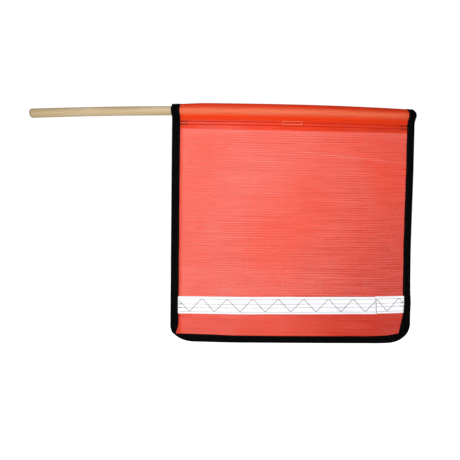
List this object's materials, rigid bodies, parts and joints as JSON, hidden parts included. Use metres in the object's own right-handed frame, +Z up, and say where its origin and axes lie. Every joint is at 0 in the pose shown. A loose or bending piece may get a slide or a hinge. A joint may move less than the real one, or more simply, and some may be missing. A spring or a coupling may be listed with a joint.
{
  "type": "square signal flag on a staff",
  "caption": "Square mesh signal flag on a wooden staff: the top edge is a sleeve over the staff, dark tape binds the edges, and a reflective band crosses the lower front.",
  "frame": {"origin": "centre of the flat face at the staff's grip end", "axes": "+X along the staff from the grip end to the flag, parallel to the sleeve; +Z up, with the flag hanging to -Z; the front of the flag faces -Y"},
  "size_m": [0.7249, 0.0234, 0.4461],
  "materials": {
    "wood": "bare sanded softwood, dull, with fine straight grain along its length",
    "mesh": "fluorescent red-orange ribbed mesh, see-through, slight sheen",
    "binding": "dull black woven tape, folded over the edge",
    "trim": "white reflective trim, satin, fine-grained",
    "red_thread": "dull dark red sewing thread",
    "black_thread": "dull black sewing thread",
    "grey_thread": "grey sewing thread, slight sheen",
    "pale_thread": "pale grey sewing thread, slight sheen",
    "patch": "pale woven patch, plain, dull"
  },
  "bodies": {
    "staff": {"staff": "wood"},
    "sleeve": {"sleeve_cloth": "mesh", "mouth_binding": "binding", "end_binding": "binding", "seam_row_upper": "red_thread", "seam_row_lower": "red_thread", "seam_backtack_near_upper": "black_thread", "seam_backtack_near_lower": "black_thread", "seam_backtack_far_upper": "black_thread", "seam_backtack_far_lower": "black_thread", "patch": "patch", "patch_stitching": "pale_thread"},
    "panel": {"panel_cloth": "mesh", "near_side_binding": "binding", "far_side_binding": "binding", "bottom_binding": "binding", "near_side_stitching": "black_thread", "far_side_stitching": "black_thread", "bottom_stitching": "black_thread", "trim_long": "trim", "trim_short": "trim", "trim_edge_row_upper": "pale_thread", "trim_edge_row_lower": "pale_thread", "trim_middle_row_upper": "pale_thread", "trim_middle_row_lower": "pale_thread", "trim_backtack_near_upper": "black_thread", "trim_backtack_near_lower": "black_thread", "trim_backtack_far_upper": "black_thread", "trim_backtack_far_lower": "black_thread", "zigzag_long": "grey_thread", "zigzag_short": "grey_thread", "splice_stitching": "grey_thread"}
  },
  "joints": [
    {"name": "sleeve_slide", "type": "slide", "parent": "staff", "child": "sleeve", "axis": [1, 0, 0], "range_m": [0, 0.435]},
    {"name": "flag_swing", "type": "hinge", "parent": "sleeve", "child": "panel", "pos_m": [0.496, -0.0002, -0.02611], "axis": [1, 0, 0], "range_deg": [-150, 150]}
  ]
}
